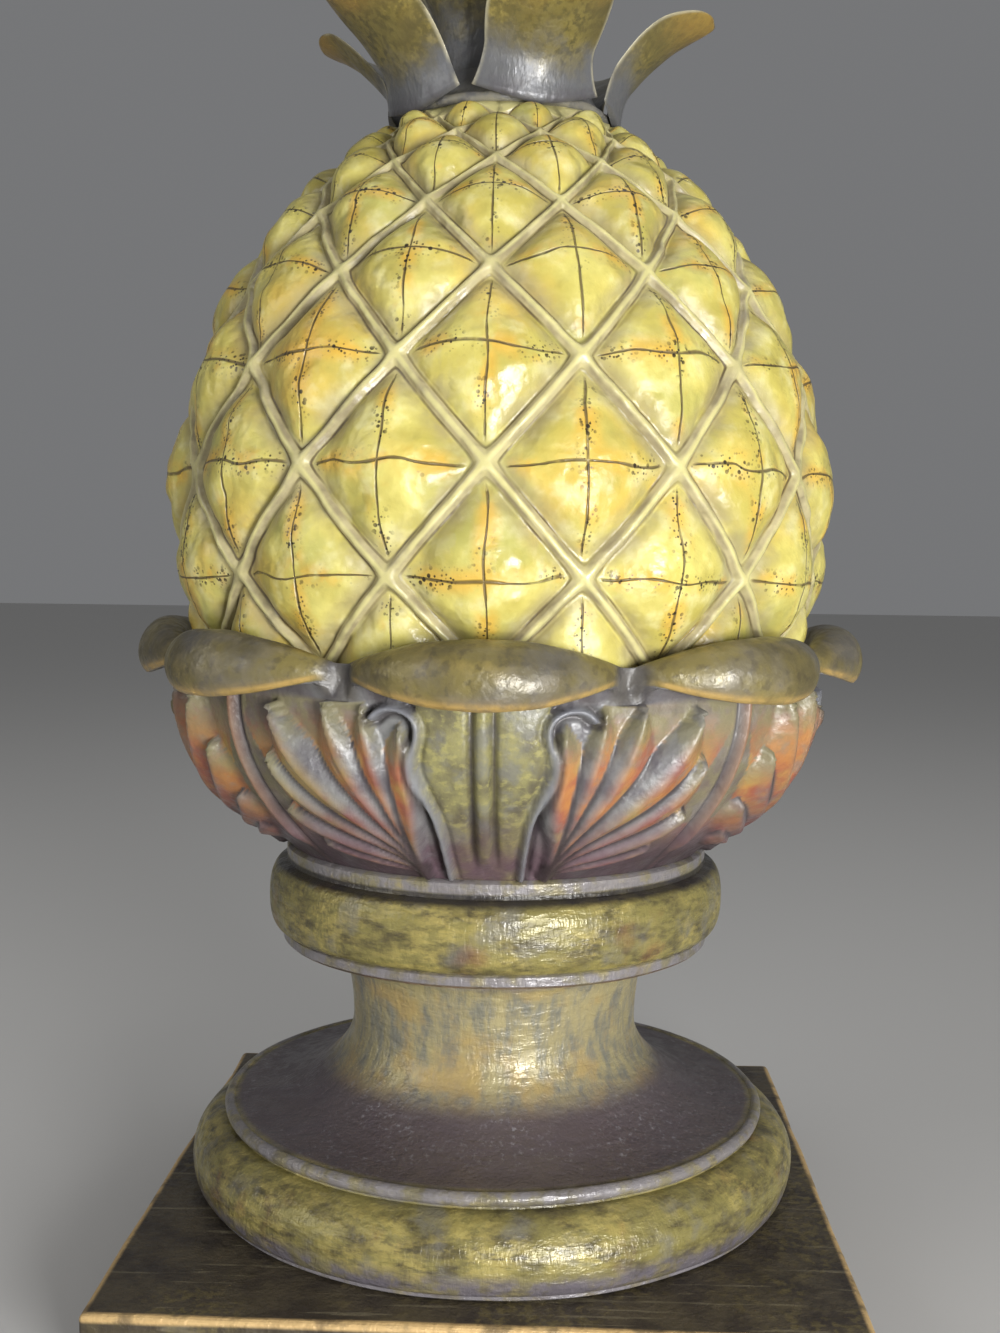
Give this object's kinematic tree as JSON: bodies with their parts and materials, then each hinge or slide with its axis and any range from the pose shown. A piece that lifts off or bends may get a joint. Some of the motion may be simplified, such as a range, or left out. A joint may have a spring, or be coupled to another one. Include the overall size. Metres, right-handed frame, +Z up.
{
  "type": "pineapple statue",
  "caption": "Cast pineapple finial: latticed fruit with a leaf crown, seated in a carved leaf cup on a turned pedestal and square plinth.",
  "frame": {"origin": "middle of the plinth's underside", "axes": "+Z up the statue, front towards -Y, +X to the viewer's right"},
  "size_m": [0.1678, 0.1678, 0.3488],
  "materials": {
    "plinth_paint": "dark purple-brown paint, rubbed with dull gold at the edges",
    "bronze_green_paint": "olive and old-gold metallic paint over purple-brown, satin",
    "fruit_paint": "satin lemon and ochre paint with grey-beige straps and dark specks",
    "crown_paint": "olive-gold metallic paint, blue-grey at the roots, pale worn edges, satin"
  },
  "bodies": {
    "root": {"plinth": "plinth_paint", "pedestal": "bronze_green_paint", "fruit": "fruit_paint", "crown": "crown_paint"}
  },
  "joints": []
}
